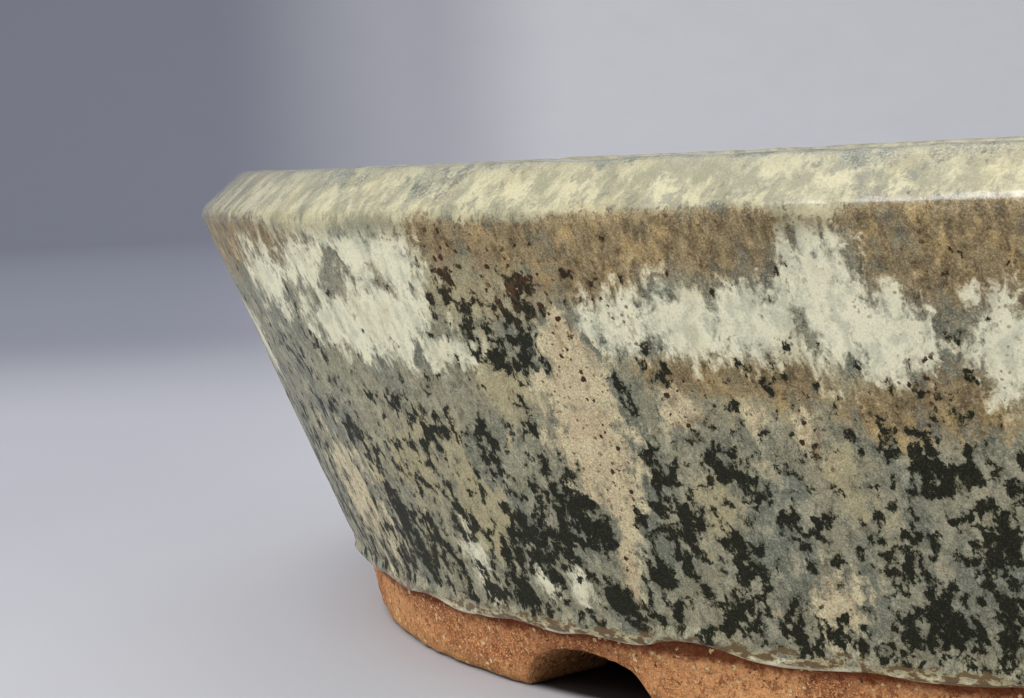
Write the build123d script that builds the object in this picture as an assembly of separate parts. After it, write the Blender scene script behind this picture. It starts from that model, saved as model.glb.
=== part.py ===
# Oval bonsai pot in glazed stoneware: a low, flared bowl with a bevelled lip,
# standing on a foot ring with arched notches.
#
# Millimetres, +Z up. The origin is the middle of the footprint, on the surface
# that the pot stands on, and the long axis of the oval lies along X.
#
# The plan is a four-centre oval, and each outline of the pot is the outer edge
# of the rim moved inwards, so all of them are arcs about the same four centres.
# A ring-shaped piece is therefore one section, drawn with its distance inside
# the rim's outer edge as negative x and its height as y, turned about each
# centre in turn.

import os
from math import asin, cos, degrees, radians, sin

from build123d import *

# Rim and heights
RIM_LENGTH = 268.0
RIM_WIDTH = 206.0
END_RADIUS = 100.0       # plan radius of the two ends, at the rim's outer edge
FOOT_HEIGHT = 8.3
WALL_HEIGHT = 42.0       # glazed wall, from the foot to the rim's outer edge
LIP_RISE = 4.4           # bevel, from the rim's outer edge to the crest

# Section, as distances inside the rim's outer edge
WALL_INSET = 17.0        # lower edge of the glazed wall
CREST_START = 5.2        # top of the bevel
CREST_END = 8.2
LIP_INNER = 10.9         # inner edge of the lip
FOOT_TOP_INSET = 18.0
FOOT_BOTTOM_INSET = 19.8
FOOT_WIDTH = 12.0

# Thicknesses and roundings
WALL_WIDTH = 9.2         # wall across, measured level, with the glaze on it
FLOOR = 7.0
GLAZE = 0.7
EDGE_ROUND = 1.6
CREST_ROUND = 2.4
INNER_ROUND = 2.2
FOOT_ROUND = 0.9

# Where the pieces meet
LIP_BASE = 44.0          # joint between wall and lip
RIM_COAT_BASE = 49.0     # the coat over the rim is pale above this height
INNER_COAT_BASE = 36.0   # the inside is bare clay below this height
BEAD_TOP = 10.0          # the thick roll at the lower end of the glaze
BEAD_BOTTOM = 7.7
BEAD_BULGE = 0.35

# Notches through the foot ring
NOTCH_X = 53.0
NOTCH_WIDTH = 17.0
NOTCH_HEIGHT = 4.9

# Holes through the floor
DRAIN_X = 62.0
DRAIN_RADIUS = 11.0
WIRE_X = 36.0
WIRE_Y = 40.0
WIRE_RADIUS = 2.5

# Worked out from the sizes above
FLOOR_TOP = FOOT_HEIGHT + FLOOR
EDGE_HEIGHT = FOOT_HEIGHT + WALL_HEIGHT
TOTAL_HEIGHT = EDGE_HEIGHT + LIP_RISE
END_X = RIM_LENGTH / 2 - END_RADIUS
SIDE_SLACK = RIM_WIDTH / 2 - END_RADIUS
SIDE_RADIUS = END_RADIUS + (END_X**2 + SIDE_SLACK**2) / (2 * SIDE_SLACK)
SIDE_Y = SIDE_RADIUS - RIM_WIDTH / 2
SIDE_HALF_ANGLE = degrees(asin(END_X / (SIDE_RADIUS - END_RADIUS)))

# The four arcs: centre, radius at the rim's outer edge, start angle and sweep
ARCS = [
    ((END_X, 0), END_RADIUS, SIDE_HALF_ANGLE - 90, 180 - 2 * SIDE_HALF_ANGLE),
    ((0, -SIDE_Y), SIDE_RADIUS, 90 - SIDE_HALF_ANGLE, 2 * SIDE_HALF_ANGLE),
    ((-END_X, 0), END_RADIUS, 90 + SIDE_HALF_ANGLE, 180 - 2 * SIDE_HALF_ANGLE),
    ((0, SIDE_Y), SIDE_RADIUS, 270 - SIDE_HALF_ANGLE, 2 * SIDE_HALF_ANGLE),
]


def oval(inset):
    """The flat face inside the rim's outer edge moved in by the inset."""
    arcs = [CenterArc(centre, radius - inset, start, sweep) for centre, radius, start, sweep in ARCS]
    return make_face(arcs)


def ring(section):
    """The closed ring that has the given section all round the oval."""
    whole = None
    for (x, y), radius, start, sweep in ARCS:
        upright = Plane.XZ * Pos(radius, 0) * section
        sector = Pos(x, y) * Rot(0, 0, start) * revolve(upright, Axis.Z, sweep)
        whole = sector if whole is None else whole + sector
    return whole


def outline(*points):
    """A section face through points given as (inset, height)."""
    return make_face(Polyline(*[(-inset, height) for inset, height in points], close=True))


def corner(section, inset, height):
    """The vertex of a section nearest a point."""
    return section.vertices().sort_by_distance((-inset, height, 0))[0]


def between(bottom, top):
    """The strip of the section plane between two heights."""
    return outline((-WALL_INSET, bottom), (RIM_WIDTH / 2, bottom), (RIM_WIDTH / 2, top), (-WALL_INSET, top))


def beyond(inset):
    """The part of the section plane that lies further in than the inset."""
    return outline((inset, 0), (RIM_WIDTH / 2, 0), (RIM_WIDTH / 2, TOTAL_HEIGHT * 2), (inset, TOTAL_HEIGHT * 2))


def wall_inset(height):
    """How far the glazed outer face lies inside the rim's outer edge."""
    return WALL_INSET * (EDGE_HEIGHT - height) / WALL_HEIGHT


def glazed_section():
    """Wall and lip with their glaze, drawn down to the table so that the wall can be cut at the floor."""
    section = outline(
        (wall_inset(0), 0),
        (0, EDGE_HEIGHT),
        (CREST_START, TOTAL_HEIGHT),
        (CREST_END, TOTAL_HEIGHT),
        (LIP_INNER, TOTAL_HEIGHT - INNER_ROUND),
        (wall_inset(LIP_BASE) + WALL_WIDTH, LIP_BASE),
        (wall_inset(0) + WALL_WIDTH, 0),
    )
    section = fillet(corner(section, 0, EDGE_HEIGHT), EDGE_ROUND)
    section = fillet(corner(section, CREST_START, TOTAL_HEIGHT), CREST_ROUND)
    return fillet(corner(section, LIP_INNER, TOTAL_HEIGHT - INNER_ROUND), INNER_ROUND)


def foot_face_inset(height):
    """How far the outer face of the foot ring lies inside the rim's outer edge."""
    return FOOT_BOTTOM_INSET + (FOOT_TOP_INSET - FOOT_BOTTOM_INSET) * height / FOOT_HEIGHT


def at_foot(x):
    """Point and outward angle on the front half of the foot's outer face, at a given x past the side arcs."""
    radius = END_RADIUS - FOOT_BOTTOM_INSET
    angle = -degrees(asin(1)) + degrees(asin((x - END_X) / radius))
    return (x, radius * sin(radians(angle)), 0), angle


def foot_ring():
    section = outline(
        (FOOT_BOTTOM_INSET, 0),
        (FOOT_TOP_INSET, FOOT_HEIGHT),
        (FOOT_BOTTOM_INSET + FOOT_WIDTH, FOOT_HEIGHT),
        (FOOT_BOTTOM_INSET + FOOT_WIDTH, 0),
    )
    section = fillet(corner(section, FOOT_BOTTOM_INSET, 0), FOOT_ROUND)
    section = fillet(corner(section, FOOT_BOTTOM_INSET + FOOT_WIDTH, 0), FOOT_ROUND)
    foot = ring(section)
    point, angle = at_foot(NOTCH_X)
    arch = Ellipse(NOTCH_WIDTH / 2, NOTCH_HEIGHT)
    cutter = Pos(*point) * Rot(0, 0, angle) * extrude(Plane.YZ * arch, FOOT_WIDTH * 2, both=True)
    for notch in (cutter, mirror(cutter, Plane.YZ)):
        foot -= notch
        foot -= mirror(notch, Plane.XZ)
    return foot


def floor_slab(clay):
    edge = clay & between(FOOT_HEIGHT, FLOOR_TOP)
    plate_inset = wall_inset(FLOOR_TOP) + WALL_WIDTH / 2
    slab = ring(edge - beyond(plate_inset)) + Pos(0, 0, FOOT_HEIGHT) * extrude(oval(plate_inset), FLOOR)
    for side in (-1, 1):
        slab -= Pos(side * DRAIN_X, 0, FOOT_HEIGHT) * extrude(Circle(DRAIN_RADIUS), FLOOR)
        for front in (-1, 1):
            slab -= Pos(side * WIRE_X, front * WIRE_Y, FOOT_HEIGHT) * extrude(Circle(WIRE_RADIUS), FLOOR)
    return slab


def glaze_bead(clay):
    """The roll in which the glaze ends, hanging a little over the foot."""
    bead_low = FOOT_HEIGHT - (FOOT_HEIGHT - BEAD_BOTTOM) / 2
    section = outline(
        (wall_inset(BEAD_TOP), BEAD_TOP),
        (wall_inset(FOOT_HEIGHT + GLAZE) - BEAD_BULGE, FOOT_HEIGHT + GLAZE),
        (wall_inset(FOOT_HEIGHT) - BEAD_BULGE, bead_low),
        (wall_inset(BEAD_BOTTOM), BEAD_BOTTOM),
        (foot_face_inset(BEAD_BOTTOM), BEAD_BOTTOM),
        (FOOT_TOP_INSET, FOOT_HEIGHT),
        (FOOT_TOP_INSET, BEAD_TOP),
    )
    return ring(section - (clay & between(FOOT_HEIGHT, TOTAL_HEIGHT)))


def build():
    glazed = glazed_section()
    clay = offset(glazed, -GLAZE)
    coat = glazed - clay
    middle = wall_inset(LIP_BASE) + WALL_WIDTH / 2
    inside = beyond(middle)
    return {
        "foot_ring": foot_ring(),
        "floor_slab": floor_slab(clay),
        "wall_band": ring(clay & between(FLOOR_TOP, LIP_BASE)),
        "rim_lip": ring(clay & between(LIP_BASE, TOTAL_HEIGHT)),
        "wall_glaze": ring((coat & between(BEAD_TOP, RIM_COAT_BASE)) - inner_half(glazed)),
        "rim_glaze": ring(coat & between(RIM_COAT_BASE, TOTAL_HEIGHT)),
        "inner_glaze": ring(coat & between(INNER_COAT_BASE, RIM_COAT_BASE) & inner_half(glazed)),
        "glaze_bead": glaze_bead(clay),
    }


def inner_half(glazed):
    """The half of the section plane on the bowl's side of the middle of the wall."""
    return outline(
        (wall_inset(0) + WALL_WIDTH / 2, 0),
        (wall_inset(TOTAL_HEIGHT) + WALL_WIDTH / 2, TOTAL_HEIGHT),
        (RIM_WIDTH / 2, TOTAL_HEIGHT),
        (RIM_WIDTH / 2, 0),
    )


os.makedirs("parts", exist_ok=True)
for name, solid in build().items():
    export_step(solid, f"parts/{name}.step")
    print(f"{name}: {solid.volume / 1000:.2f} cm3")
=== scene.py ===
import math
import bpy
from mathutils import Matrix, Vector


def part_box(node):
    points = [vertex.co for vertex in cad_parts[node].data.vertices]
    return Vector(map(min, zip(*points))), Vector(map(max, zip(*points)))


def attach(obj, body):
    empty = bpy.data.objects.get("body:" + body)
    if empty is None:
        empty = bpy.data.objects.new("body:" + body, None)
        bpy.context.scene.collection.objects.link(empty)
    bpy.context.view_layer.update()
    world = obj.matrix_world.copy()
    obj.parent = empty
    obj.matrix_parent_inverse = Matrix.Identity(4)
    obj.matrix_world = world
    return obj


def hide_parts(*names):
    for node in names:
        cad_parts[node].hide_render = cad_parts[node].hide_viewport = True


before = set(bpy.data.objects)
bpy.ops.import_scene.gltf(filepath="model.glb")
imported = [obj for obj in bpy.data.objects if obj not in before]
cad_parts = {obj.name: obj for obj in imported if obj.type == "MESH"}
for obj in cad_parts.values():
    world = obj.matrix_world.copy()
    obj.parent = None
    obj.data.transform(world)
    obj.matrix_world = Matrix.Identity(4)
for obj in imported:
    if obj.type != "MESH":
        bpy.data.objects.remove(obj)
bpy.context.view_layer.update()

# Looks of the oval bonsai pot: a stoneware pot with a mottled ash-like glaze, a
# pale coat over the lip, and a bare clay foot with arched notches.
#
# Lengths are in millimetres, times MM where they go to Blender. Every ring-shaped
# piece is a section carried round the oval plan. A place on the pot is given by
# two distances: `around`, measured along the rim from the middle of the front
# towards +X, and `up`, measured along the section's outline from the lower end of
# the glaze, over the lip and down inside.

from types import SimpleNamespace

import bpy
import numpy as np
from mathutils import Matrix, Vector, noise

MM = 0.001


def highest(node):
    """The highest corner of a CAD node, in mm."""
    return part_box(node)[1] / MM


# ---------------------------------------------------------------- sizes, in mm
# They are the CAD part's, and the heights are read from it. An inset is a distance
# inside the rim's outer edge, and WALL_WIDTH is measured level, with the glaze on.
FOOT_TOP_INSET = 18.0
FOOT_BOTTOM_INSET = 19.8
FOOT_WIDTH = 12.0
END_RADIUS = 100.0
WALL_INSET = 17.0
WALL_WIDTH = 9.2
CREST_START = 5.2
CREST_END = 8.2
LIP_INNER = 10.9
INNER_ROUND = 2.2
LIP_RISE = 4.4
LIP_BASE = 44.0
RIM_COAT_BASE = 49.0
INNER_COAT_BASE = 36.0
GLAZE = 0.7
NOTCH_X = 53.0           # the middle of a notch, to either side
NOTCH_REACH = 11.0       # half a notch, measured along the rim
NOTCH_HEIGHT = 4.9

FOOT_HEIGHT = highest("foot_ring").z
FLOOR_TOP = highest("floor_slab").z
TOTAL_HEIGHT = highest("rim_glaze").z
EDGE_HEIGHT = TOTAL_HEIGHT - LIP_RISE
HALF_LENGTH = highest("foot_ring").x + FOOT_TOP_INSET
HALF_WIDTH = highest("foot_ring").y + FOOT_TOP_INSET

# ------------------------------------------------------------- plan of the oval
END_X = HALF_LENGTH - END_RADIUS
SIDE_SLACK = HALF_WIDTH - END_RADIUS
SIDE_RADIUS = END_RADIUS + (END_X**2 + SIDE_SLACK**2) / (2 * SIDE_SLACK)
SIDE_Y = SIDE_RADIUS - HALF_WIDTH
SIDE_ANGLE = math.asin(END_X / (SIDE_RADIUS - END_RADIUS))
SIDE_HALF = SIDE_RADIUS * SIDE_ANGLE
END_ARC = END_RADIUS * (math.pi - 2 * SIDE_ANGLE)
PERIMETER = 4 * SIDE_HALF + 2 * END_ARC


def plan(around):
    """Points of the rim's outer edge and the outward normals there."""
    around = np.asarray(around) % PERIMETER
    ends = np.cumsum([SIDE_HALF, END_ARC, 2 * SIDE_HALF, END_ARC, SIDE_HALF])
    quarter = math.pi / 2
    turns = [-quarter, SIDE_ANGLE - quarter, quarter - SIDE_ANGLE, quarter + SIDE_ANGLE,
             3 * quarter - SIDE_ANGLE, 3 * quarter]
    turn = np.interp(around, [0, *ends], turns)
    arc = np.minimum(np.searchsorted(ends, around, side="right"), 4)
    centre_x = np.array([0, END_X, 0, -END_X, 0])[arc]
    centre_y = np.array([SIDE_Y, 0, -SIDE_Y, 0, SIDE_Y])[arc]
    radius = np.array([SIDE_RADIUS, END_RADIUS, SIDE_RADIUS, END_RADIUS, SIDE_RADIUS])[arc]
    normal = np.stack([np.cos(turn), np.sin(turn)], -1)
    return np.stack([centre_x, centre_y], -1) + radius[:, None] * normal, normal


def around_of(x, y):
    """The distance around the rim of the point on the rim whose normal passes through (x, y)."""
    tried = np.arange(0, PERIMETER, 0.25)
    rim, normal = plan(tried)
    gap = np.array([x, y]) - rim
    sideways = gap[:, 0] * normal[:, 1] - gap[:, 1] * normal[:, 0]
    wrong_side = (gap * normal).sum(1) > 0
    return tried[np.argmin(np.abs(sideways) + 1e3 * wrong_side)]


def past(around, place):
    """How far around lies past a place on the rim, the short way round: negative before it."""
    return (around - place + PERIMETER / 2) % PERIMETER - PERIMETER / 2


def wobble(around, seed, waves=7):
    """A smooth closed wave round the pot, between about -1 and 1, for hand-made unevenness."""
    random = np.random.default_rng(seed)
    phase = 2 * np.pi * np.asarray(around) / PERIMETER
    total = 0
    for wave in range(2, 2 + waves):
        size = random.uniform(-1, 1)
        total = total + size * np.sin(wave * phase + random.uniform(0, 6.28)) / wave**0.5
    return total / 1.5


def out_of_round(around):
    """How far every section of the hand-made pot lies inside its true place, for each station."""
    return 0.15 * wobble(around, 4)[:, None]


# ------------------------------------------------- outline of the glazed section
def lengths(path):
    """The distance along a polyline at which each of its points lies."""
    return np.concatenate([[0], np.cumsum(np.linalg.norm(np.diff(path, axis=0), axis=1))])


def points_at(marks, run, path):
    """The points of a polyline at given distances along it."""
    return np.stack([np.interp(marks, run, path[:, k]) for k in (0, 1)], -1)


def rounded(points, radii, step=0.3):
    """A polyline in which each inner corner is an arc of its own radius."""
    points = [np.array(p, float) for p in points]
    path = [points[0]]
    for before, corner, after, radius in zip(points, points[1:], points[2:], radii):
        back = (before - corner) / np.linalg.norm(before - corner)
        ahead = (after - corner) / np.linalg.norm(after - corner)
        half = math.acos(np.clip(back @ ahead, -1, 1)) / 2
        centre = corner + (back + ahead) / np.linalg.norm(back + ahead) * radius / math.sin(half)
        start = corner + back * radius / math.tan(half) - centre
        end = corner + ahead * radius / math.tan(half) - centre
        first = math.atan2(start[1], start[0])
        last = math.atan2(end[1], end[0])
        sweep = (last - first + math.pi) % (2 * math.pi) - math.pi
        count = max(3, math.ceil(abs(sweep) * radius / step))
        for angle in first + sweep * np.linspace(0, 1, count + 1):
            path.append(centre + radius * np.array([math.cos(angle), math.sin(angle)]))
    path.append(points[-1])
    return np.array(path)


def wall_inset(height):
    """How far the glazed outer face lies inside the rim's outer edge."""
    return WALL_INSET * (EDGE_HEIGHT - height) / (EDGE_HEIGHT - FOOT_HEIGHT)


OUTLINE = rounded(
    [(WALL_INSET, FOOT_HEIGHT), (0, EDGE_HEIGHT), (CREST_START, TOTAL_HEIGHT),
     (CREST_END, TOTAL_HEIGHT), (LIP_INNER, TOTAL_HEIGHT - INNER_ROUND),
     (wall_inset(LIP_BASE) + WALL_WIDTH, LIP_BASE),
     (wall_inset(FLOOR_TOP) + WALL_WIDTH, FLOOR_TOP)],
    [1.5, 2.6, 1.5, 2.6, 8.0])
RUN = lengths(OUTLINE)
EDGE_UP = math.hypot(WALL_INSET, EDGE_HEIGHT - FOOT_HEIGHT)


def on_outline(up, out=0.0):
    """Inset and height of the outline at a distance up, moved out of the body by `out`."""
    up = np.asarray(up, float)
    reach = 0.2
    inner = np.clip(up, RUN[0] + reach, RUN[-1] - reach)
    along = points_at(inner + reach, RUN, OUTLINE) - points_at(inner - reach, RUN, OUTLINE)
    along /= np.linalg.norm(along, axis=-1, keepdims=True)
    point = points_at(up, RUN, OUTLINE)
    # Below its lower end the outline goes straight on
    below = np.minimum(up, 0)[..., None]
    outward = np.stack([-along[..., 1], along[..., 0]], -1)
    return point + below * along + np.asarray(out)[..., None] * outward


def up_of(height, inside=False):
    """The distance up at which the outline passes a height, on the outer or the inner side."""
    crest = np.argmax(OUTLINE[:, 1])
    if inside:
        return float(np.interp(-height, -OUTLINE[crest:, 1], RUN[crest:]))
    return float(np.interp(height, OUTLINE[:crest + 1, 1], RUN[:crest + 1]))


# ------------------------------------------------------------------ mesh making
def stations(step, places=(), reach=0.0, fine=0.25):
    """Distances around the rim, closer together within reach of the given places."""
    marks = [0.0]
    while marks[-1] < PERIMETER - step * 0.6:
        crowded = any(abs(past(marks[-1], place)) < reach for place in places)
        marks.append(marks[-1] + (fine if crowded else step))
    return np.array(marks[:-1]) * PERIMETER / marks[-1]


def ring(name, around, section, up):
    """A closed ring, whose section holds an inset and a height for each station and section point.

    Gives the piece, and the distances around and up of each of its vertices.
    """
    columns, points = section.shape[:2]
    rim, normal = plan(around)
    place = rim[:, None, :] - section[..., :1] * normal[:, None, :]
    co = np.concatenate([place, section[..., 1:]], -1).reshape(-1, 3)
    column = np.arange(columns)[:, None]
    point = np.arange(points)[None, :]
    here = column * points
    beside = (column + 1) % columns * points
    after = (point + 1) % points
    faces = np.stack([here + point, beside + point, beside + after, here + after], -1).reshape(-1, 4)
    # A section drawn the other way round would turn its faces inwards
    inset, height = section[0, :, 0], section[0, :, 1]
    if np.sum(inset * np.roll(height, -1) - height * np.roll(inset, -1)) > 0:
        faces = faces[:, ::-1]
    mesh = bpy.data.meshes.new(name)
    mesh.from_pydata((co * MM).tolist(), [], faces.tolist())
    mesh.shade_smooth()
    piece = bpy.data.objects.new(name, mesh)
    bpy.context.scene.collection.objects.link(piece)
    up = np.broadcast_to(up, (columns, points))
    far = np.broadcast_to(around[:, None], (columns, points))
    # The glaze's pattern is laid by place on the rim and distance up, so it runs down the wall
    fall = np.stack(np.broadcast_arrays(rim[:, None, 0], rim[:, None, 1], up), -1)
    give(mesh, "fall", fall)
    give(mesh, "up", up)
    return piece, far, up


def give(mesh, name, values):
    """Stores one number or one vector for each vertex, for the materials to read."""
    values = np.asarray(values, np.float32)
    flat = values.reshape(len(mesh.vertices), -1)
    kind, field = ("FLOAT_VECTOR", "vector") if flat.shape[1] == 3 else ("FLOAT", "value")
    mesh.attributes.new(name, kind, "POINT").data.foreach_set(field, flat.ravel())


def roughly(far, up, size, stretch, seed):
    """Fractal noise for each vertex, about -0.5 to 0.5, stretched down the fall of the wall."""
    far, up = np.broadcast_arrays(far, up)
    rim, _ = plan(far.ravel())
    places = np.column_stack([rim[:, 0], rim[:, 1], up.ravel() / stretch]) / size
    values = [noise.fractal(Vector(p) + Vector((seed, 0, 0)), 0.9, 2.0, 3) for p in places.tolist()]
    return np.array(values).reshape(far.shape)


def smoothed(values, window):
    """The values round the pot, each averaged with its neighbours."""
    shifts = range(-(window // 2), window // 2 + 1)
    return sum(np.roll(values, shift, axis=0) for shift in shifts) / len(shifts)


# -------------------------------------------------- where the glaze's colours lie
def patch(around, up, place, height, half_width, half_height):
    """1 at the middle of an oval patch, 0 at its edge and below 0 outside."""
    return 1 - np.hypot(past(around, place) / half_width, (up - height) / half_height)


def patches(around, up, placed):
    """The strongest of several patches, each (around, up, half width, half height)."""
    field = np.full(np.shape(around), -1.0)
    for oval in placed:
        field = np.maximum(field, patch(around, up, *oval))
    return field


# Between these two places, on the front left, patches are listed one by one
PLACED_FROM = -112.0
PLACED_TO = 8.0


def scattered(seed, count, ups, half_widths, half_heights):
    """Patches at random round the part of the pot where none is listed."""
    random = np.random.default_rng(seed)
    ranges = [(PLACED_TO, PERIMETER + PLACED_FROM), ups, half_widths, half_heights]
    return [tuple(random.uniform(*limits) for limits in ranges) for _ in range(count)]


# Each patch is (around, up, half width, half height). CREAM is the pale coat where it has run onto
# the wall, BROWN the band under the lip and the one below the cream, DARK the groups of black-green
# spots, OCHRE and RUSTY the warm stains, and LIP_GREY the dull places on the lip.
CREAM = [(-70.5, 45.2, 8, 3.0), (-79, 45.5, 7, 2.6), (-37, 34.5, 4.5, 2.6), (-30, 35, 5, 3.6),
         (-23, 34.5, 6, 3.6), (-16, 37.5, 3.6, 7.0), (-11, 33.5, 5, 4.0), (-1, 33, 3.5, 4.5),
         (-66, 34, 6, 4.5), (-75, 33.5, 8, 4.0), (-62.5, 40.5, 4.5, 3.2), (-69, 41, 3, 4.0),
         (-80, 40, 5, 3.0), (-59, 31, 4, 2.0), (-92, 38, 6, 4.0), (-51.5, 5, 2.4, 2.5), (-57, 5, 2.2, 2.4),
         (-68, 6, 3, 5)]
CREAM += scattered(11, 34, (27, 40), (4, 11), (3, 6.5))
CREAM += scattered(12, 16, (3, 24), (2, 4), (2.5, 5))
TAN = [(-21, 7, 4.0, 4.4), (-33, 25.5, 3.0, 3.0), (-25, 25.5, 1.5, 2.6), (-44.5, 7, 1.6, 3.0),
       (-20, 24, 1.6, 3.0), (-94, 12, 8, 9)]
TAN += scattered(13, 26, (5, 30), (1.6, 5), (3, 11))
BROWN = [(-36, 42, 10, 3.0), (-27, 42.5, 8, 3.6), (-22, 43.5, 6, 2.2), (-3, 41.5, 8.5, 6.5),
         (4, 40, 8, 6.0), (-56, 43, 5, 2.4), (-48, 42.5, 6, 2.6), (-14, 45, 8, 1.8), (-88, 43, 9, 3.0),
         (-103, 42, 9, 3.5), (-52, 45, 6, 1.6), (-42, 45, 8, 2.2), (-38, 38.5, 5, 2.5),
         (-30, 29.5, 5, 1.8), (-22, 29.5, 5, 2.2), (-12, 27, 4, 2.4), (-5, 28, 4, 3)]
BROWN += scattered(14, 46, (40, 44), (5, 14), (2.5, 6.0))
DARK = [(-48.5, 15, 3.6, 4.0), (-50.6, 25, 1.3, 5.5), (-52, 17, 3, 4), (-53, 9, 4.5, 5),
        (-46, 12, 2.6, 2.4), (-37, 20, 2.0, 4), (-38.8, 27.5, 1.0, 2.6), (-39.5, 13.5, 4.0, 2.6),
        (-40, 8, 2, 2.5), (-55.0, 34.0, 8, 6), (-51.0, 32.5, 8, 8), (-47, 35.0, 6, 5), (-56, 37, 4, 4),
        (-48, 38, 5, 2.6), (-30, 11, 3, 4), (-14, 14, 3, 5), (-22, 14.5, 4, 2.6), (-8, 21, 4, 3.5),
        (-4, 12, 4, 6), (-12, 5, 5, 3.5), (-33, 4, 4, 3), (-46, 3.5, 4, 2.6), (-30, 20, 3, 2.5),
        (-58, 10, 3, 5), (-58.5, 21, 3, 3.5), (-66, 22, 3, 3), (-73, 25, 3.5, 3), (-67, 11, 3, 3),
        (-64, 3.5, 6, 3), (-80, 8, 6, 5), (-85, 19, 4, 3), (-82, 14, 2.5, 6), (-92, 22.5, 6, 1.6),
        (-37.8, 38.4, 1.8, 1.3), (-31.0, 38.7, 1.3, 1.0), (-25, 38.0, 3.0, 0.7), (-5.4, 34.5, 1.3, 2.4),
        (-2.6, 35, 1.0, 1.8), (-45, 38.5, 1.6, 1.0), (-41, 39.5, 1.4, 1.0)]
DARK += scattered(15, 64, (2, 26), (1.5, 4.5), (2, 6))
DARK += scattered(16, 18, (28, 39), (2, 4), (2, 4))
OCHRE = [(-53, 38.5, 8, 5), (-53, 27, 4, 4), (-72, 17, 6, 6), (-65, 13, 4, 7), (-63.5, 17, 2.0, 6),
         (-61, 12, 2, 4), (-69, 21, 1.6, 3.5), (-83, 15, 2, 5), (-55, 29, 2, 3), (-27, 31, 3, 2),
         (-31, 16, 3, 4), (-17, 20, 3, 4), (-27, 28.5, 9, 3.4), (-13, 28, 7, 3.2), (-3, 28, 6, 3.0)]
OCHRE += scattered(17, 34, (4, 30), (1.2, 2.6), (4, 9))
RUSTY = [(-43.6, 33, 2.6, 3.4), (-42.4, 27, 1.5, 7), (-41.6, 19, 1.5, 7), (-50, 38, 4, 5),
         (-45.5, 38, 3, 5), (-55, 40.5, 3, 4), (-38, 36, 3, 2.4), (-36, 33.5, 3, 2), (-20, 24, 2.4, 5),
         (-32, 26, 3, 4), (-8, 30, 3, 3), (-44.2, 7, 1.4, 4)]
RUSTY += scattered(19, 26, (14, 42), (1.5, 4), (3, 8))
LIP_GREY = [(-57, 49.5, 5.5, 4.0), (-50, 51.5, 4, 2.5), (-36, 52.5, 6, 2.0), (-12, 51.0, 6, 2.4),
            (-20, 52.5, 7, 2.0), (-74, 51, 6, 2.4), (-3, 52, 5, 2.5)]
LIP_GREY += scattered(18, 50, (46, 60), (3, 8), (1.5, 4))

# Where the pale coat runs down over the edge onto the wall
COAT_RUNS = [(-45, 45.5, 6, 3), (-52, 45.5, 4, 2.6), (-62, 45, 4, 3), (-76, 45, 5, 3), (-15, 45.5, 4, 2)]
COAT_RUNS += scattered(20, 22, (44.5, 46), (2, 6), (1.5, 3.5))

# The tan streak that runs down the front left: its distances up, middles and half widths
STREAK_UP = [5, 9.5, 12, 14, 17, 22, 28, 32, 35]
STREAK_AROUND = [-44.6, -44.0, -42.8, -42.6, -43.8, -43.9, -43.4, -43.4, -43.6]
STREAK_HALF = [0.6, 1.5, 1.0, 1.6, 4.2, 5.2, 4.4, 2.8, 0.9]

# How ready the glaze is to turn dark, by distance up: least along the rolled edge and under the lip
DARK_UP = [-1, 0.2, 1.2, 10, 18, 22, 27, 31, 40, 45]
DARK_LEVEL = [-1.6, -1.0, -0.18, -0.36, -0.54, -0.54, -0.88, -0.88, -1.36, -1.6]


def streak(around, up):
    """1 along the middle of the tan streak, 0 at its edges and below 0 outside."""
    middle = np.interp(up, STREAK_UP, STREAK_AROUND)
    half = np.interp(up, STREAK_UP, STREAK_HALF)
    beyond = np.maximum(STREAK_UP[0] - up, up - STREAK_UP[-1])
    return np.maximum(1 - np.abs(past(around, middle)) / half - np.maximum(beyond, 0), -1)


def paint(mesh, around, up):
    """Stores how strongly each of the glaze's colours pools at each vertex."""
    around, up = around.ravel(), up.ravel()
    coat_runs = np.clip(patches(around, up, COAT_RUNS) + 0.3, 0, 1)
    wall_end = EDGE_UP + 0.1 + 0.5 * wobble(around, 33, 30) - 1.3 * coat_runs
    on_lip = np.clip((up - wall_end + 1.2) / 2.0, 0, 1)
    past_edge = np.clip((up - wall_end - 0.3) / 1.2, 0, 1)
    lip_cream = 0.80 - 1.1 * np.clip(patches(around, up, LIP_GREY) + 0.3, 0, 1)
    wall_cream = patches(around, up, CREAM) + np.interp(up, [10, 20], [-0.35, 0.0])
    give(mesh, "cream", on_lip * lip_cream + (1 - on_lip) * wall_cream)
    give(mesh, "brown", patches(around, up, BROWN) - 2.0 * past_edge)
    tan = np.maximum(patches(around, up, TAN) - 0.30, streak(around, up))
    give(mesh, "tan", tan - 2.0 * on_lip)
    thickest = np.interp(up, [27, 31], [0.56, 0.80])
    cluster = np.clip(1.2 * patches(around, up, DARK), 0, thickest)
    give(mesh, "dark", np.interp(up, DARK_UP, DARK_LEVEL) + 1.3 * cluster - 1.5 * on_lip)
    give(mesh, "ochre", patches(around, up, OCHRE) - 2.0 * on_lip)
    give(mesh, "rusty", np.clip(patches(around, up, RUSTY) * 1.6, 0, 1) * (1 - on_lip))


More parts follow.
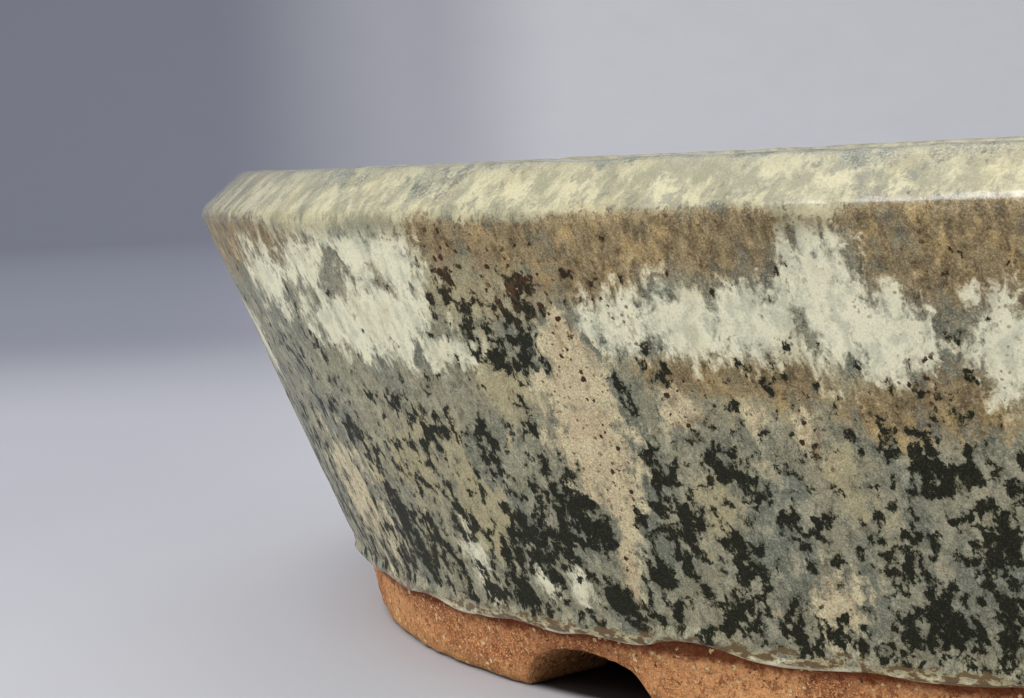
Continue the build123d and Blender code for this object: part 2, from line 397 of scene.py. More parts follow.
# -------------------------------------------------------------- material making
class Look:
    """A material's node tree, with short calls for the nodes that the looks need."""

    def __init__(self, name):
        self.material = bpy.data.materials.new(name)
        self.material.use_nodes = True
        self.tree = self.material.node_tree
        self.shader = self.tree.nodes["Principled BSDF"]

    def node(self, kind, **settings):
        made = self.tree.nodes.new("ShaderNode" + kind)
        for key, value in settings.items():
            setattr(made, key, value)
        return made

    def feed(self, socket, value):
        if isinstance(value, bpy.types.NodeSocket):
            self.tree.links.new(value, socket)
        elif isinstance(value, tuple) and len(value) == 3 and socket.type == "RGBA":
            socket.default_value = (*value, 1)
        else:
            socket.default_value = value

    def attribute(self, name):
        made = self.node("Attribute", attribute_name=name)
        return made.outputs["Vector" if name == "fall" else "Fac"]

    def math(self, operation, *values, clamp=False):
        made = self.node("Math", operation=operation, use_clamp=clamp)
        for socket, value in zip(made.inputs, values):
            self.feed(socket, value)
        return made.outputs[0]

    def plus(self, a, b, clamp=False):
        return self.math("ADD", a, b, clamp=clamp)

    def minus(self, a, b):
        return self.math("SUBTRACT", a, b)

    def times(self, a, b):
        return self.math("MULTIPLY", a, b)

    def scaled(self, value, by, offset):
        return self.math("MULTIPLY_ADD", value, by, offset)

    def stretch(self, vector, scale):
        made = self.node("VectorMath", operation="MULTIPLY")
        self.feed(made.inputs[0], vector)
        made.inputs[1].default_value = scale
        return made.outputs[0]

    def shift(self, vector, by):
        made = self.node("VectorMath", operation="ADD")
        self.feed(made.inputs[0], vector)
        self.feed(made.inputs[1], by)
        return made.outputs[0]

    def noise(self, vector, scale, detail=4.0, roughness=0.55, colour=False):
        made = self.node("TexNoise")
        settings = {"Vector": vector, "Scale": scale, "Detail": detail, "Roughness": roughness}
        for key, value in settings.items():
            self.feed(made.inputs[key], value)
        return made.outputs["Color" if colour else "Fac"]

    def cells(self, vector, scale):
        """Distance to the nearest of many scattered points, and a random colour for each."""
        made = self.node("TexVoronoi")
        self.feed(made.inputs["Vector"], vector)
        made.inputs["Scale"].default_value = scale
        return made.outputs["Distance"], made.outputs["Color"]

    def red(self, colour):
        made = self.node("SeparateColor")
        self.feed(made.inputs[0], colour)
        return made.outputs[0]

    def step(self, value, low, high):
        """0 below low, 1 above high, smooth between."""
        made = self.node("MapRange", interpolation_type="SMOOTHSTEP")
        for key, number in (("Value", value), ("From Min", low), ("From Max", high)):
            self.feed(made.inputs[key], number)
        return made.outputs[0]

    def mix(self, factor, a, b, blend="MIX"):
        made = self.node("Mix", data_type="RGBA", blend_type=blend)
        self.feed(made.inputs["Factor"], factor)
        self.feed(made.inputs[6], a)
        self.feed(made.inputs[7], b)
        return made.outputs[2]

    def lay(self, colour, shade, mask, strength):
        """The colour with a shade laid over it where the mask is 1, as strongly as it says."""
        return self.mix(self.times(mask, strength), colour, shade)

    def grains(self, vector, scale, by, offset):
        """How far inside a grain of random size a point lies, and a random colour for the grain."""
        distance, tint = self.cells(vector, scale)
        size = self.scaled(self.red(tint), by, offset)
        return self.minus(size, distance), tint

    def warp(self, vector, scale, amount):
        """The vector, pushed about by noise, so that patches get uneven edges."""
        drift = self.noise(vector, scale, 3.0, colour=True)
        centred = self.shift(drift, (-0.5, -0.5, -0.5))
        return self.shift(vector, self.stretch(centred, (amount,) * 3))

    def bump(self, height, distance, strength):
        made = self.node("Bump")
        self.feed(made.inputs["Height"], height)
        made.inputs["Distance"].default_value = distance * MM
        made.inputs["Strength"].default_value = strength
        return made.outputs[0]

    def position(self):
        """Where a point lies, in mm."""
        return self.stretch(self.node("TexCoord").outputs["Object"], (1 / MM,) * 3)

    def along(self, vector, direction):
        """How far a point lies along a level direction."""
        made = self.node("VectorMath", operation="DOT_PRODUCT")
        self.feed(made.inputs[0], vector)
        made.inputs[1].default_value = (*direction, 0)
        return made.outputs["Value"]

    def finish(self, colour, roughness, normal):
        self.feed(self.shader.inputs["Base Color"], colour)
        self.feed(self.shader.inputs["Roughness"], roughness)
        self.feed(self.shader.inputs["Normal"], normal)
        return self.material


# The glaze's colours
GREY_DARK = (0.080, 0.082, 0.055)
GREY_WARM = (0.325, 0.300, 0.195)
GREY_GREEN = (0.195, 0.205, 0.155)
GREY_PALE = (0.425, 0.405, 0.280)
CRYSTAL = (0.50, 0.49, 0.37)
CRYSTAL_SHADE = (0.50, 0.48, 0.42)
CRYSTAL_GLINT = (0.16, 0.16, 0.125)
CREAM_LIGHT = (0.90, 0.865, 0.625)
CREAM_GREY = (0.66, 0.655, 0.48)
LIP_PALE = (0.540, 0.492, 0.308)
LIP_DULL = (0.285, 0.270, 0.170)
LIP_CLOUD = (0.165, 0.168, 0.125)
TAN_LIGHT = (0.76, 0.66, 0.41)
TAN_PINK = (0.66, 0.52, 0.315)
BROWN_DARK = (0.150, 0.100, 0.044)
BROWN_LIGHT = (0.360, 0.270, 0.135)
GOLD = (0.56, 0.39, 0.16)
OCHRE_LIGHT = (0.52, 0.44, 0.235)
BLACK_GREEN = (0.008, 0.009, 0.004)
OLIVE = (0.055, 0.058, 0.026)
OLIVE_BROWN = (0.150, 0.105, 0.045)
GLASS_BROWN = (0.130, 0.075, 0.024)
BURNT_UMBER = (0.022, 0.014, 0.005)
RUST = (0.22, 0.105, 0.042)
SPECK = (0.050, 0.021, 0.008)
RUST_RED = (0.060, 0.023, 0.009)
DUST = (0.150, 0.080, 0.032)


def glaze_fields(look):
    """What the mesh says and the noises that the parts of the glaze share."""
    fall = look.attribute("fall")
    runs = look.stretch(fall, (1, 1, 0.65))
    wandering = look.warp(runs, 0.5, 1.6)
    patchy = look.noise(wandering, 0.42, 6.0, 0.66)
    cloudy = look.noise(wandering, 1.1, 5.0, 0.66)
    return SimpleNamespace(
        fall=fall,
        up=look.attribute("up"),
        runs=runs,
        wandering=wandering,
        broad=look.noise(runs, 0.16, 4.0, 0.6),
        patchy=patchy,
        cloudy=cloudy,
        fine=look.noise(fall, 4.2, 3.0, 0.65),
        crystals=look.noise(fall, 5.6, 3.0, 0.75),
        ragged_edge=look.plus(look.times(patchy, 3.8), look.scaled(cloudy, 2.0, -2.90)))


def pooled(look, at, name, low, high):
    """Where one of the glaze's colours has pooled, with a ragged edge."""
    return look.step(look.plus(look.attribute(name), at.ragged_edge), low, high)


def ground_shade(look, at):
    """Grey-green, warmer or paler in patches, with small crystals, and ochre where it pools."""
    shade = look.mix(look.step(at.broad, 0.42, 0.58), GREY_GREEN, GREY_WARM)
    shade = look.lay(shade, GREY_PALE, look.step(at.patchy, 0.47, 0.60), 0.9)
    shade = look.lay(shade, GREY_DARK, look.step(at.cloudy, 0.52, 0.36), 0.6)
    _, tint = look.cells(look.warp(at.fall, 1.6, 0.6), 3.2)
    shade = look.lay(shade, CRYSTAL, look.step(look.red(tint), 0.5, 1.0), 0.30)
    shade = look.lay(shade, GREY_DARK, look.step(at.fine, 0.52, 0.74), 0.40)
    return look.lay(shade, OCHRE_LIGHT, pooled(look, at, "ochre", -0.4, 0.8), 0.6)


def brown_shade(look, at):
    """The band under the lip: brown with gold in it."""
    shade = look.mix(look.step(at.cloudy, 0.36, 0.64), BROWN_DARK, BROWN_LIGHT)
    return look.lay(shade, GOLD, look.step(at.patchy, 0.50, 0.66), 0.75)


def cream_shade(look, at):
    """The pale coat: milky on the wall, duller and clouded on the lip."""
    clouds = look.noise(at.wandering, 0.7, 5.0, 0.62)
    on_wall = look.mix(look.step(clouds, 0.36, 0.56), CREAM_GREY, CREAM_LIGHT)
    lip_clouds = look.noise(at.wandering, 0.30, 6.0, 0.70)
    on_lip = look.mix(look.step(lip_clouds, 0.40, 0.58), LIP_DULL, LIP_PALE)
    grey_clouds = look.noise(at.wandering, 0.55, 5.0, 0.68)
    on_lip = look.lay(on_lip, LIP_CLOUD, look.step(grey_clouds, 0.54, 0.62), 0.62)
    on_lip = look.lay(on_lip, LIP_DULL, look.step(at.up, EDGE_UP + 3.0, EDGE_UP + 6.0), 0.45)
    shade = look.mix(look.step(at.up, EDGE_UP - 3.5, EDGE_UP - 0.8), on_wall, on_lip)
    return look.lay(shade, OCHRE_LIGHT, look.step(at.broad, 0.5, 0.66), 0.35)


def tan_shade(look, at):
    """The tan streaks, greyer and browner in places."""
    shade = look.mix(look.step(at.patchy, 0.38, 0.60), TAN_PINK, TAN_LIGHT)
    shade = look.lay(shade, GREY_PALE, look.step(at.cloudy, 0.50, 0.34), 0.55)
    return look.lay(shade, BROWN_LIGHT, look.step(at.fine, 0.46, 0.70), 0.45)


def crystallised(look, at, colour, cream):
    """The colour with fine dark and glinting crystals, fewer of them in the pale coat."""
    grainy = look.scaled(cream, -0.60, 1.0)
    shadowed = look.times(look.step(at.crystals, 0.52, 0.38), 0.70)
    colour = look.mix(look.times(shadowed, grainy), colour, CRYSTAL_SHADE, "MULTIPLY")
    glinting = look.times(look.step(at.crystals, 0.53, 0.68), grainy)
    return look.mix(glinting, colour, CRYSTAL_GLINT, "ADD")


def dusted(look, at, colour, brown, tan):
    """The colour with tiny brown specks, many of them where the glaze is warm."""
    inside, _ = look.grains(look.warp(at.fall, 3.0, 0.3), 1.9, 0.55, -0.20)
    dust = look.step(inside, -0.03, 0.08)
    dusty = look.plus(look.times(tan, 0.85), look.scaled(brown, 0.5, 0.10), clamp=True)
    return look.lay(colour, DUST, dust, dusty)


def darkness(look, at, cream, tan):
    """How far the glaze has turned black-green: above 0 in the dark spots."""
    blots = look.noise(look.warp(look.stretch(at.fall, (1, 1, 0.8)), 1.3, 0.7), 0.74, 7.0, 0.66)
    groups = look.noise(at.runs, 0.24, 2.0)
    dark = look.plus(look.attribute("dark"), look.scaled(blots, 9.0, -4.5))
    dark = look.plus(dark, look.scaled(groups, 3.0, -1.5))
    dark = look.plus(dark, look.scaled(at.crystals, 1.4, -0.7))
    dark = look.minus(dark, look.times(tan, 1.1))
    return look.minus(dark, look.times(cream, 0.7))


def spotted(look, at, colour, dark, spots):
    """The colour with the dark spots and a halo round each: olive, and brown near the lip."""
    high = look.step(at.up, 33.0, 39.0)
    halo = look.step(dark, -0.50, 0.10)
    colour = look.lay(colour, look.mix(high, OLIVE, OLIVE_BROWN), halo, 0.5)
    inside = look.mix(high, BLACK_GREEN, BURNT_UMBER)
    inside = look.lay(inside, OLIVE, look.step(at.crystals, 0.50, 0.64), 0.60)
    return look.lay(colour, inside, spots, 0.98)


def rusted(look, at, colour, brown, tan):
    """The colour with rusty stains and specks, most of them where the mesh says."""
    rusty = look.attribute("rusty")
    inside, _ = look.grains(look.warp(at.fall, 2.0, 0.7), 1.25, 0.50, -0.16)
    specks = look.step(look.scaled(rusty, 0.10, inside), -0.02, 0.07)
    speckled = look.plus(look.times(tan, 0.4), look.times(brown, 0.5))
    speckled = look.plus(speckled, look.scaled(rusty, 0.9, 0.12), clamp=True)
    stain = look.step(look.noise(at.wandering, 1.7, 4.0, 0.6), 0.50, 0.62)
    colour = look.lay(colour, RUST, look.times(stain, rusty), 0.45)
    return look.lay(colour, look.mix(rusty, SPECK, RUST_RED), specks, speckled)


def edge_rolled(look, at, colour):
    """The colour with the thick glassy edge at the bottom, whitish and stained, with painted highlights,
    and where that lies.
    """
    stained = look.noise(look.stretch(at.fall, (0.45, 0.45, 0.9)), 1.3, 6.0, 0.62)
    milky_and_highlit = look.mix(look.step(stained, 0.47, 0.54), GLASS_BROWN, OCHRE_LIGHT)
    # The whitest patches are partly the thick glass's own whiteness and partly painted highlight
    milky_and_highlit = look.mix(look.step(stained, 0.55, 0.61), milky_and_highlit, CREAM_LIGHT)
    # A pale line along the lowest edge: partly whitish glass, partly a painted highlight
    milky_and_highlit = look.lay(milky_and_highlit, CREAM_LIGHT, look.step(at.up, -0.60, -0.90), 0.6)
    rolled = look.step(look.plus(at.up, look.scaled(stained, 6.0, -3.0)), 0.8, 0.3)
    return look.lay(colour, milky_and_highlit, rolled, 0.9), rolled


def glaze(name):
    """The mottled glaze. Its colours pool where the mesh says, with edges broken up by noise."""
    look = Look(name)
    at = glaze_fields(look)
    brown = pooled(look, at, "brown", -0.75, 0.40)
    cream = pooled(look, at, "cream", -0.30, 0.45)
    tan = pooled(look, at, "tan", -0.35, 0.45)
    dark = darkness(look, at, cream, tan)
    spots = look.step(dark, -0.06, 0.12)
    colour = ground_shade(look, at)
    colour = look.lay(colour, brown_shade(look, at), brown, 0.90)
    colour = look.lay(colour, cream_shade(look, at), cream, 0.93)
    colour = look.lay(colour, tan_shade(look, at), tan, 0.92)
    colour = crystallised(look, at, colour, cream)
    colour = dusted(look, at, colour, brown, tan)
    colour = spotted(look, at, colour, dark, spots)
    colour = rusted(look, at, colour, brown, tan)
    colour, rolled = edge_rolled(look, at, colour)

    on_lip = look.step(at.up, EDGE_UP - 1.5, EDGE_UP + 0.5)
    glossy = look.math("MAXIMUM", look.times(rolled, 0.5), on_lip)
    relief = look.plus(look.times(at.patchy, 0.8), look.times(at.fine, 0.12))
    relief = look.minus(relief, look.times(spots, 0.10))
    dull = look.scaled(at.fine, 0.16, look.scaled(glossy, -0.14, 0.32))
    dull = look.scaled(spots, 0.08, dull)
    look.feed(look.shader.inputs["Coat Weight"], glossy)
    look.shader.inputs["Coat Roughness"].default_value = 0.20
    look.shader.inputs["Specular IOR Level"].default_value = 0.15
    return look.finish(colour, dull, look.bump(relief, 0.3, 0.5))


# The clay's colours
CLAY = (0.50, 0.190, 0.080)
CLAY_LIGHT = (0.90, 0.445, 0.190)
CLAY_DARK = (0.24, 0.068, 0.022)
# Dark red-brown of the band just under the glaze's edge
CLAY_DARK_BAND = (0.170, 0.030, 0.008)
CLAY_PIT_PAINTED_SHADE = (0.045, 0.018, 0.010)
GOLDEN = (0.52, 0.29, 0.10)
GROG = (1.0, 0.53, 0.22)
GROG_WHITE = (1.0, 0.70, 0.36)


def fired_foot(look, colour, middling):
    """The foot's clay: golden where it stands on the table, and dark red-brown in a band just under the
    glaze.
    """
    up = look.attribute("up")
    colour = look.lay(colour, GOLDEN, look.step(up, -5.0, -8.2), 0.45)
    uneven = look.plus(up, look.scaled(middling, 1.6, -0.8))
    return look.lay(colour, CLAY_DARK_BAND, look.step(uneven, -2.3, -1.2), 0.85)


def clay(name, on_foot=False, tone=0.85):
    """Bare grogged stoneware: orange-brown, with pale grains of several sizes, and pits darkened with
    painted shade.
    """
    look = Look(name)
    position = look.position()
    broad = look.noise(position, 0.10, 4.0, 0.55)
    middling = look.noise(position, 0.9, 5.0, 0.65)
    fine = look.noise(position, 3.4, 4.0, 0.7)
    base, light, dark = (tuple(c * tone for c in shade) for shade in (CLAY, CLAY_LIGHT, CLAY_DARK))
    colour = look.mix(look.step(broad, 0.38, 0.66), base, light)
    colour = look.lay(colour, dark, look.step(middling, 0.46, 0.62), 0.70)
    colour = look.lay(colour, dark, look.step(fine, 0.50, 0.66), 0.45)

    sand = look.noise(look.shift(position, (5.0, 17.0, 3.0)), 5.0, 2.0, 0.5)
    colour = look.lay(colour, GROG, look.step(sand, 0.56, 0.64), 0.85)
    grit = look.noise(look.warp(position, 2.0, 0.4), 2.6, 3.0, 0.5)
    gritty = look.step(grit, 0.550, 0.600)
    colour = look.lay(colour, GROG, gritty, 0.80)
    if on_foot:
        colour = fired_foot(look, colour, middling)
    inside, tint = look.grains(look.warp(position, 2.6, 0.6), 1.25, 0.58, -0.17)
    lumps = look.step(inside, -0.02, 0.06)
    lump_shade = look.mix(look.step(look.red(tint), 0.55, 0.95), GROG, GROG_WHITE)
    colour = look.mix(lumps, colour, lump_shade)
    # Painted shade darkens the small pits, which the bump also sinks
    pitted = look.noise(look.warp(look.shift(position, (31.0, 7.0, 3.0)), 2.0, 0.3), 1.9, 3.0, 0.6)
    pits = look.step(pitted, 0.655, 0.685)
    colour = look.lay(colour, CLAY_PIT_PAINTED_SHADE, pits, 0.85)

    relief = look.plus(middling, look.times(fine, 0.35))
    relief = look.plus(relief, look.times(gritty, 0.35))
    relief = look.plus(relief, look.times(lumps, 0.5))
    relief = look.minus(relief, look.times(pits, 1.2))
    look.shader.inputs["Specular IOR Level"].default_value = 0.15
    return look.finish(colour, look.scaled(fine, 0.2, 0.62), look.bump(relief, 0.7, 1.0))


def wear(piece, material):
    """Gives a piece one material."""
    piece.data.materials.clear()
    piece.data.materials.append(material)


def stand_for(piece, node):
    """Ties a new piece to the pot's body in place of the CAD node it stands for, which it hides."""
    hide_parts(node)
    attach(piece, "root")


# -------------------------------------------------------------------- the pieces
def coat(name, around, first, last, sinks, lower_edge=0.0):
    """A skin of glaze between two distances up, whose two ends sink below the coats beside them."""
    blend = 2.0
    ups = np.append(np.arange(first, last, 0.7), last)
    tuck = -sinks[0] * np.clip(1 - (ups - first) / blend, 0, 1) ** 2
    tuck -= sinks[1] * np.clip(1 - (last - ups) / blend, 0, 1) ** 2
    front = ups + lower_edge * wobble(around, 5, 24)[:, None] * (ups - first) / (last - first)
    far = np.broadcast_to(around[:, None], front.shape)
    swell = 0.2 * roughly(far, front, 7.0, 2.5, 40)
    face = on_outline(front, tuck + swell)
    # The back lies hidden on the clay, so every fourth point is enough there
    hidden = np.concatenate([front[:, -1:0:-4], front[:, :1]], 1)
    back = on_outline(hidden, np.full(hidden.shape, -GLAZE))
    section = np.concatenate([face, back], 1)
    section[..., 1] += 0.18 * wobble(around, 3)[:, None] * (section[..., 1] / TOTAL_HEIGHT)
    section[..., 0] += out_of_round(around)
    piece, far, up = ring(name, around, section, np.concatenate([front, hidden], 1))
    paint(piece.data, far, up)
    stand_for(piece, name)
    return piece


def bead(around):
    """The thick edge in which the glaze ends, uneven and sagging over the foot here and there."""
    # Its section, as distances up the wall and out of it
    roll = np.array([
        (3.6, -0.30), (2.6, -0.16), (1.8, -0.02), (1.2, 0.12), (0.7, 0.26), (0.2, 0.34), (-0.25, 0.32),
        (-0.55, 0.18), (-0.72, -0.06), (-0.76, -0.45), (-0.66, -0.95), (-0.5, -1.6), (0.4, -1.5),
        (1.4, -0.9), (3.6, -0.75)])
    wavy = smoothed(roughly(around[:, None], 0.0, 11.0, 1.0, 90), 13)
    fat = np.clip(1 + 0.4 * wobble(around, 21, 30)[:, None] + 1.3 * wavy, 0.4, 1.8)
    sag = 0.20 + 0.28 * wobble(around, 22, 24)[:, None] + 1.7 * wavy
    low = np.clip(1 - roll[:, 0] / 2.6, 0, 1)
    ups = roll[:, 0] + sag * low
    outs = np.where(roll[:, 1] > 0, roll[:, 1] * fat, roll[:, 1])
    section = on_outline(ups, outs)
    section[..., 0] += out_of_round(around)
    piece, far, up = ring("glaze_bead", around, section, roll[0, 0] - lengths(roll) + sag * low)
    paint(piece.data, far, up)
    stand_for(piece, "glaze_bead")
    return piece


def notch_rise(around, middles):
    """How high the underside of the foot stands above the table, over the notches."""
    rise = np.zeros(len(around))
    for number, middle in enumerate(middles):
        across = past(around, middle)
        lean = 0.8 * (-1) ** number
        reach = np.where(across < lean, NOTCH_REACH + lean, NOTCH_REACH - lean)
        share = np.clip(np.abs(across - lean) / reach, 0, 1)
        rise += NOTCH_HEIGHT * np.sqrt(1 - share**2.2) * (1 - share**8)
    return rise


def foot_ring(middles):
    """The bare clay foot, with a slightly uneven face and soft-edged notches at the given places."""
    around = stations(0.6, middles, NOTCH_REACH + 3)
    rise = notch_rise(around, middles)[:, None]
    rounding = 1.3
    top = FOOT_HEIGHT
    outline = rounded(
        [(FOOT_TOP_INSET + 0.1, top), (FOOT_BOTTOM_INSET, 0), (FOOT_BOTTOM_INSET + FOOT_WIDTH, 0),
         (FOOT_BOTTOM_INSET + FOOT_WIDTH, top)],
        [rounding, rounding])
    run = lengths(outline)
    marks = np.linspace(0, run[-1], 60)
    flat = points_at(marks, run, outline)
    height = rise + flat[:, 1] * (top - rise) / top
    far = np.broadcast_to(around[:, None], height.shape)
    rough = roughly(far, marks[None, :], 2.4, 1.0, 60)
    waves = roughly(far, marks[None, :], 14.0, 1.0, 70)
    into_clay = np.where(np.arange(len(marks)) < len(marks) / 2, 1, -1)
    below_top = np.clip((top - height) / 1.5, 0, 1)
    inset = flat[:, 0] + into_clay * (0.16 * rough + 0.25 * waves) * below_top
    standing = (height > 0.3) & (height < top - 0.2)
    height = height + np.where(standing, 0.12 * rough, 0)
    section = np.stack([inset + out_of_round(around), height], -1)
    piece, _, _ = ring("foot_ring", around, section, height - FOOT_HEIGHT)
    stand_for(piece, "foot_ring")
    return piece


def wall_clay(around):
    """The wall's clay: hidden under the glaze outside, bare inside, with a cove down to the floor."""
    cove = 7.0
    inner_low = on_outline(up_of(FLOOR_TOP, inside=True), -GLAZE)
    inner_high = on_outline(up_of(LIP_BASE, inside=True), -GLAZE)
    outer_high = on_outline(up_of(LIP_BASE), -GLAZE)
    outer_low = on_outline(up_of(FLOOR_TOP), -GLAZE)
    on_floor = inner_low + [cove + 6, -0.25]
    path = rounded([outer_low, outer_high, inner_high, inner_low + [0, 0.15], on_floor], [0.05, 0.05, cove])
    under = np.array([inner_low + [cove + 6, -1.5], outer_low])
    path = np.concatenate([path, under])
    run = lengths(path)
    marks = np.unique(np.concatenate([run, np.arange(0, run[-1], 1.0)]))[:-1]
    flat = points_at(marks, run, path)
    section = np.broadcast_to(flat, (len(around), *flat.shape)).copy()
    far = np.broadcast_to(around[:, None], section.shape[:2])
    bare = (flat[:, 0] > wall_inset(flat[:, 1]) + WALL_WIDTH / 2) & (flat[:, 1] > FLOOR_TOP)
    throwing = 0.22 * np.sin(flat[:, 1] * 1.15 + 2.0 * wobble(around, 31)[:, None])
    rough = roughly(far, marks[None, :], 9.0, 1.0, 80)
    # Smooth behind the inner coat, or the clay would come through it
    below_glaze = np.clip((INNER_COAT_BASE + 5.0 - flat[:, 1]) / 6.0, 0, 1)
    section[..., 0] += np.where(bare, (throwing + 0.5 * rough) * below_glaze, 0)
    section[..., 0] += out_of_round(around)
    piece, _, _ = ring("wall_band", around, section, section[..., 1] - FOOT_HEIGHT)
    stand_for(piece, "wall_band")
    return piece


def floor_slab():
    """The CAD floor, with softened edges."""
    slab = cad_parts["floor_slab"]
    even = slab.modifiers.new("even", "REMESH")
    even.mode = "VOXEL"
    even.voxel_size = 1.1 * MM
    even.use_smooth_shade = True
    soft = slab.modifiers.new("soft", "SMOOTH")
    soft.factor = 0.5
    soft.iterations = 3
    return slab


def glaze_pieces():
    """The four pieces of the coat, in the one mottled glaze."""
    around = stations(0.75)
    lip_inside = up_of(RIM_COAT_BASE, inside=True)
    glaze_end = up_of(INNER_COAT_BASE, inside=True)
    skins = [
        coat("wall_glaze", around, 0.4, EDGE_UP - 0.6, (0.12, 0.05)),
        coat("rim_glaze", around, EDGE_UP - 2.0, lip_inside + 0.8, (0.06, 0.06)),
        coat("inner_glaze", around, lip_inside - 0.4, glaze_end, (0.10, 0.5), 2.2),
        bead(stations(0.4)),
    ]
    mottled = glaze("mottled_glaze")
    for skin in skins:
        wear(skin, mottled)


def clay_pieces():
    """The foot with its four notches, the wall, the floor and the lip, in bare clay."""
    corner = around_of(NOTCH_X, -HALF_WIDTH + FOOT_BOTTOM_INSET)
    half = PERIMETER / 2
    middles = [corner, half - corner, half + corner, PERIMETER - corner]
    wear(foot_ring(middles), clay("foot_clay", on_foot=True, tone=1.0))
    wear(wall_clay(stations(1.2)), clay("wall_clay"))
    wear(floor_slab(), clay("floor_clay"))
    wear(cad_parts["rim_lip"], clay("lip_clay"))


# ------------------------------------------------- floor, backdrop, lights, camera
# The camera stands close, level with the crest of the lip, and looks slightly down. Its place is in
# mm and its angles are in radians.
VIEW_TURN = math.radians(31.9)
CAMERA_AT = (48.06, -249.6, 54.9)
LOOK_DOWN = 0.0946
TILT = 0.0463
FOCAL_LENGTH = 70.3
VIEW_AHEAD = (-math.sin(VIEW_TURN), math.cos(VIEW_TURN))
VIEW_SIDE = (math.cos(VIEW_TURN), math.sin(VIEW_TURN))

TABLE_DIM = (0.50, 0.495, 0.52)
TABLE_BRIGHT = (0.54, 0.535, 0.56)
# Blue-grey of the shade painted on the table and on its wall
TABLE_PAINTED_SHADE = (0.14, 0.15, 0.19)
# Near-black of the shadow painted on the table under the pot
PAINTED_SHADOW_UNDER_POT = (0.012, 0.010, 0.009)


def table_sheet():
    """A round sheet that curves up into a low wall, further out than the other views are taken from."""
    wall_foot = 2000.0
    wall_top = 640.0
    rise_radius = 600.0
    profile = rounded([(150, 0), (wall_foot, 0), (wall_foot + 60, wall_top)], [rise_radius], 12.0)
    count = 120
    turns = [2 * math.pi * step / count for step in range(count)]
    verts = [(0, 0, 0)]
    for far, height in profile:
        verts += [(far * math.cos(turn) * MM, far * math.sin(turn) * MM, height * MM) for turn in turns]
    faces = [(0, 1 + i, 1 + (i + 1) % count) for i in range(count)]
    for row in range(len(profile) - 1):
        near = 1 + row * count
        far = near + count
        faces += [(near + i, far + i, far + (i + 1) % count, near + (i + 1) % count) for i in range(count)]
    mesh = bpy.data.meshes.new("table_top")
    mesh.from_pydata(verts, [], faces)
    mesh.shade_smooth()
    sheet = bpy.data.objects.new("table_top", mesh)
    bpy.context.scene.collection.objects.link(sheet)
    return sheet


def under_pot_shadow_area(look, position):
    """1 on the part of the table that the foot ring surrounds, where the shadow under the pot is painted.
    """
    parts = look.node("SeparateXYZ")
    look.feed(parts.inputs[0], position)
    to_side = look.math("ABSOLUTE", parts.outputs["X"])
    past_centre = look.math("MAXIMUM", look.minus(to_side, END_X), 0.0)
    squares = look.scaled(past_centre, past_centre, look.math("POWER", parts.outputs["Y"], 2.0))
    reach = END_RADIUS - FOOT_BOTTOM_INSET
    return look.step(look.math("SQRT", squares), reach + 0.5, reach - 2.0)


def table_look():
    """Pale grey, with painted shade towards the left of the pot and far behind on the left, and a painted
    shadow inside the foot ring.
    """
    look = Look("table_top")
    position = look.position()
    mottle = look.noise(position, 0.02, 3.0)
    colour = look.mix(mottle, TABLE_DIM, TABLE_BRIGHT)
    sideways = look.along(position, VIEW_SIDE)
    away = look.along(position, VIEW_AHEAD)
    # Painted shade: the table is darker towards the left of the pot, more so further back
    leftward_painted_shade = look.scaled(look.step(away, -40.0, 120.0), 0.16, 0.30)
    colour = look.lay(colour, TABLE_PAINTED_SHADE, look.step(sideways, -15.0, -170.0), leftward_painted_shade)
    # Painted shade far behind on the left, on the table and up its wall
    far_left = look.step(look.scaled(away, 0.12, sideways), 40.0, -170.0)
    far_left_painted_shade = look.times(far_left, look.step(away, 200.0, 470.0))
    colour = look.lay(colour, TABLE_PAINTED_SHADE, far_left_painted_shade, 0.80)
    # Painted shadow: the table is near black inside the foot ring
    colour = look.mix(under_pot_shadow_area(look, position), colour, PAINTED_SHADOW_UNDER_POT)
    return look.finish(colour, 0.7, look.bump(mottle, 0.1, 0.05))


def backdrop():
    """The table and the wall behind it, which aren't part of the pot."""
    sheet = table_sheet()
    wear(sheet, table_look())


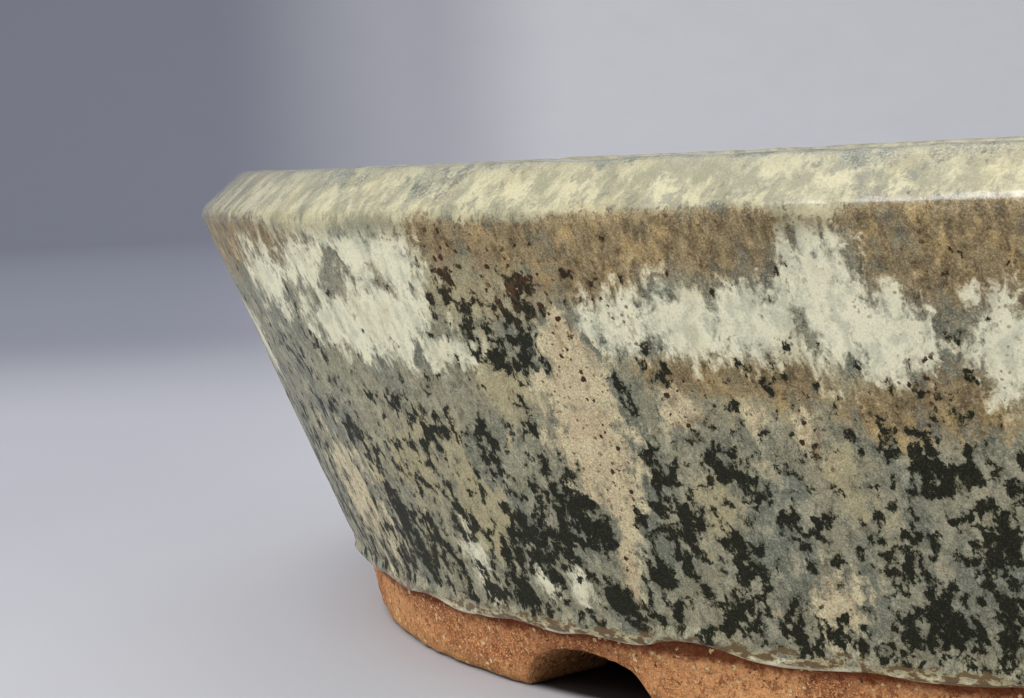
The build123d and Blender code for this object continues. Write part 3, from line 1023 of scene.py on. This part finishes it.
def camera():
    """The camera, turned and tilted as the view needs."""
    ahead = Vector((*VIEW_AHEAD, 0)) * math.cos(LOOK_DOWN) - Vector((0, 0, math.sin(LOOK_DOWN)))
    side = Vector((*VIEW_SIDE, 0))
    level_up = side.cross(ahead)
    right = side * math.cos(TILT) - level_up * math.sin(TILT)
    up = side * math.sin(TILT) + level_up * math.cos(TILT)
    data = bpy.data.cameras.new("camera")
    data.lens = FOCAL_LENGTH
    data.sensor_width = 36.0
    data.clip_start = 5 * MM
    eye = bpy.data.objects.new("camera", data)
    turned = Matrix((right, up, -ahead)).transposed()
    eye.matrix_world = Matrix.Translation(Vector(CAMERA_AT) * MM) @ turned.to_4x4()
    bpy.context.scene.collection.objects.link(eye)
    bpy.context.scene.camera = eye


def area_light(name, at, aim, size, power, colour=(1, 1, 1)):
    """A soft rectangular lamp that points at a place. Places and sizes are in mm, power in watts."""
    data = bpy.data.lights.new(name, "AREA")
    data.shape = "RECTANGLE"
    data.size = size[0] * MM
    data.size_y = size[1] * MM
    data.energy = power
    data.color = colour
    lamp = bpy.data.objects.new(name, data)
    lamp.location = Vector(at) * MM
    lamp.rotation_mode = "QUATERNION"
    lamp.rotation_quaternion = (Vector(aim) - Vector(at)).to_track_quat("-Z", "Y")
    bpy.context.scene.collection.objects.link(lamp)
    return lamp


def lights():
    """Soft light from above and the front left, and a wash on the backdrop behind."""
    area_light("overhead", (0, 120, 900), (0, -40, 0), (1100, 900), 2.0, (1.0, 0.985, 0.96))
    area_light("key", (-190, -520, 760), (0, -60, 30), (360, 560), 4.9)
    fill = area_light("fill", (-620, -840, 740), (0, -60, 30), (1700, 1000), 9.0, (1.0, 0.99, 0.96))
    fill.visible_glossy = False
    wash = area_light("wash", (-600, 700, 1300), (-900, 1500, 200), (1200, 1200), 12.5)
    wash.visible_glossy = False


def sky():
    """A pale bluish light all round, brighter from above."""
    world = bpy.data.worlds.new("world")
    world.use_nodes = True
    tree = world.node_tree
    background = tree.nodes["Background"]
    direction = tree.nodes.new("ShaderNodeTexCoord").outputs["Generated"]
    split = tree.nodes.new("ShaderNodeSeparateXYZ")
    tree.links.new(direction, split.inputs[0])
    rising = tree.nodes.new("ShaderNodeMapRange")
    tree.links.new(split.outputs["Z"], rising.inputs["Value"])
    rising.inputs["From Max"].default_value = 0.8
    rising.inputs["To Min"].default_value = 0.19
    rising.inputs["To Max"].default_value = 0.50
    tree.links.new(rising.outputs[0], background.inputs["Strength"])
    background.inputs["Color"].default_value = (0.88, 0.92, 1.0, 1)
    bpy.context.scene.world = world


glaze_pieces()
clay_pieces()
backdrop()
camera()
lights()
sky()
bpy.context.scene.view_settings.view_transform = "Standard"
